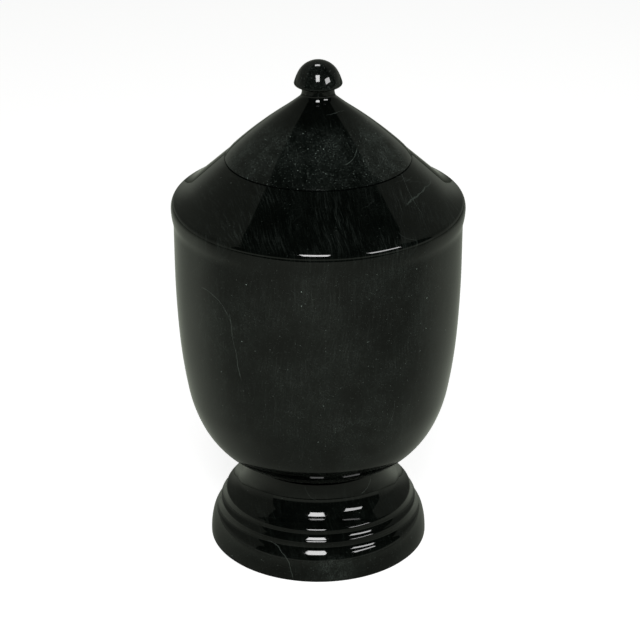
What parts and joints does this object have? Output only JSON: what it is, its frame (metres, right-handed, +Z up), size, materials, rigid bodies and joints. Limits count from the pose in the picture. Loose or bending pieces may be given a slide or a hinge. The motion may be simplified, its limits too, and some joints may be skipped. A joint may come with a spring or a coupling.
{
  "type": "cremation urn",
  "caption": "Polished black marble cremation urn: round bowl under a conical shoulder with a proud rim, lift-off cone lid with a knob, and a stepped round foot.",
  "frame": {"origin": "centre of the underside of the foot", "axes": "+Z up along the turning axis, from the foot to the knob"},
  "size_m": [0.1862, 0.1862, 0.3301],
  "materials": {
    "polished_marble": "polished black marble with fine light specks and thin veins"
  },
  "bodies": {
    "root": {"foot": "polished_marble", "body": "polished_marble", "lid": "polished_marble"}
  },
  "joints": []
}
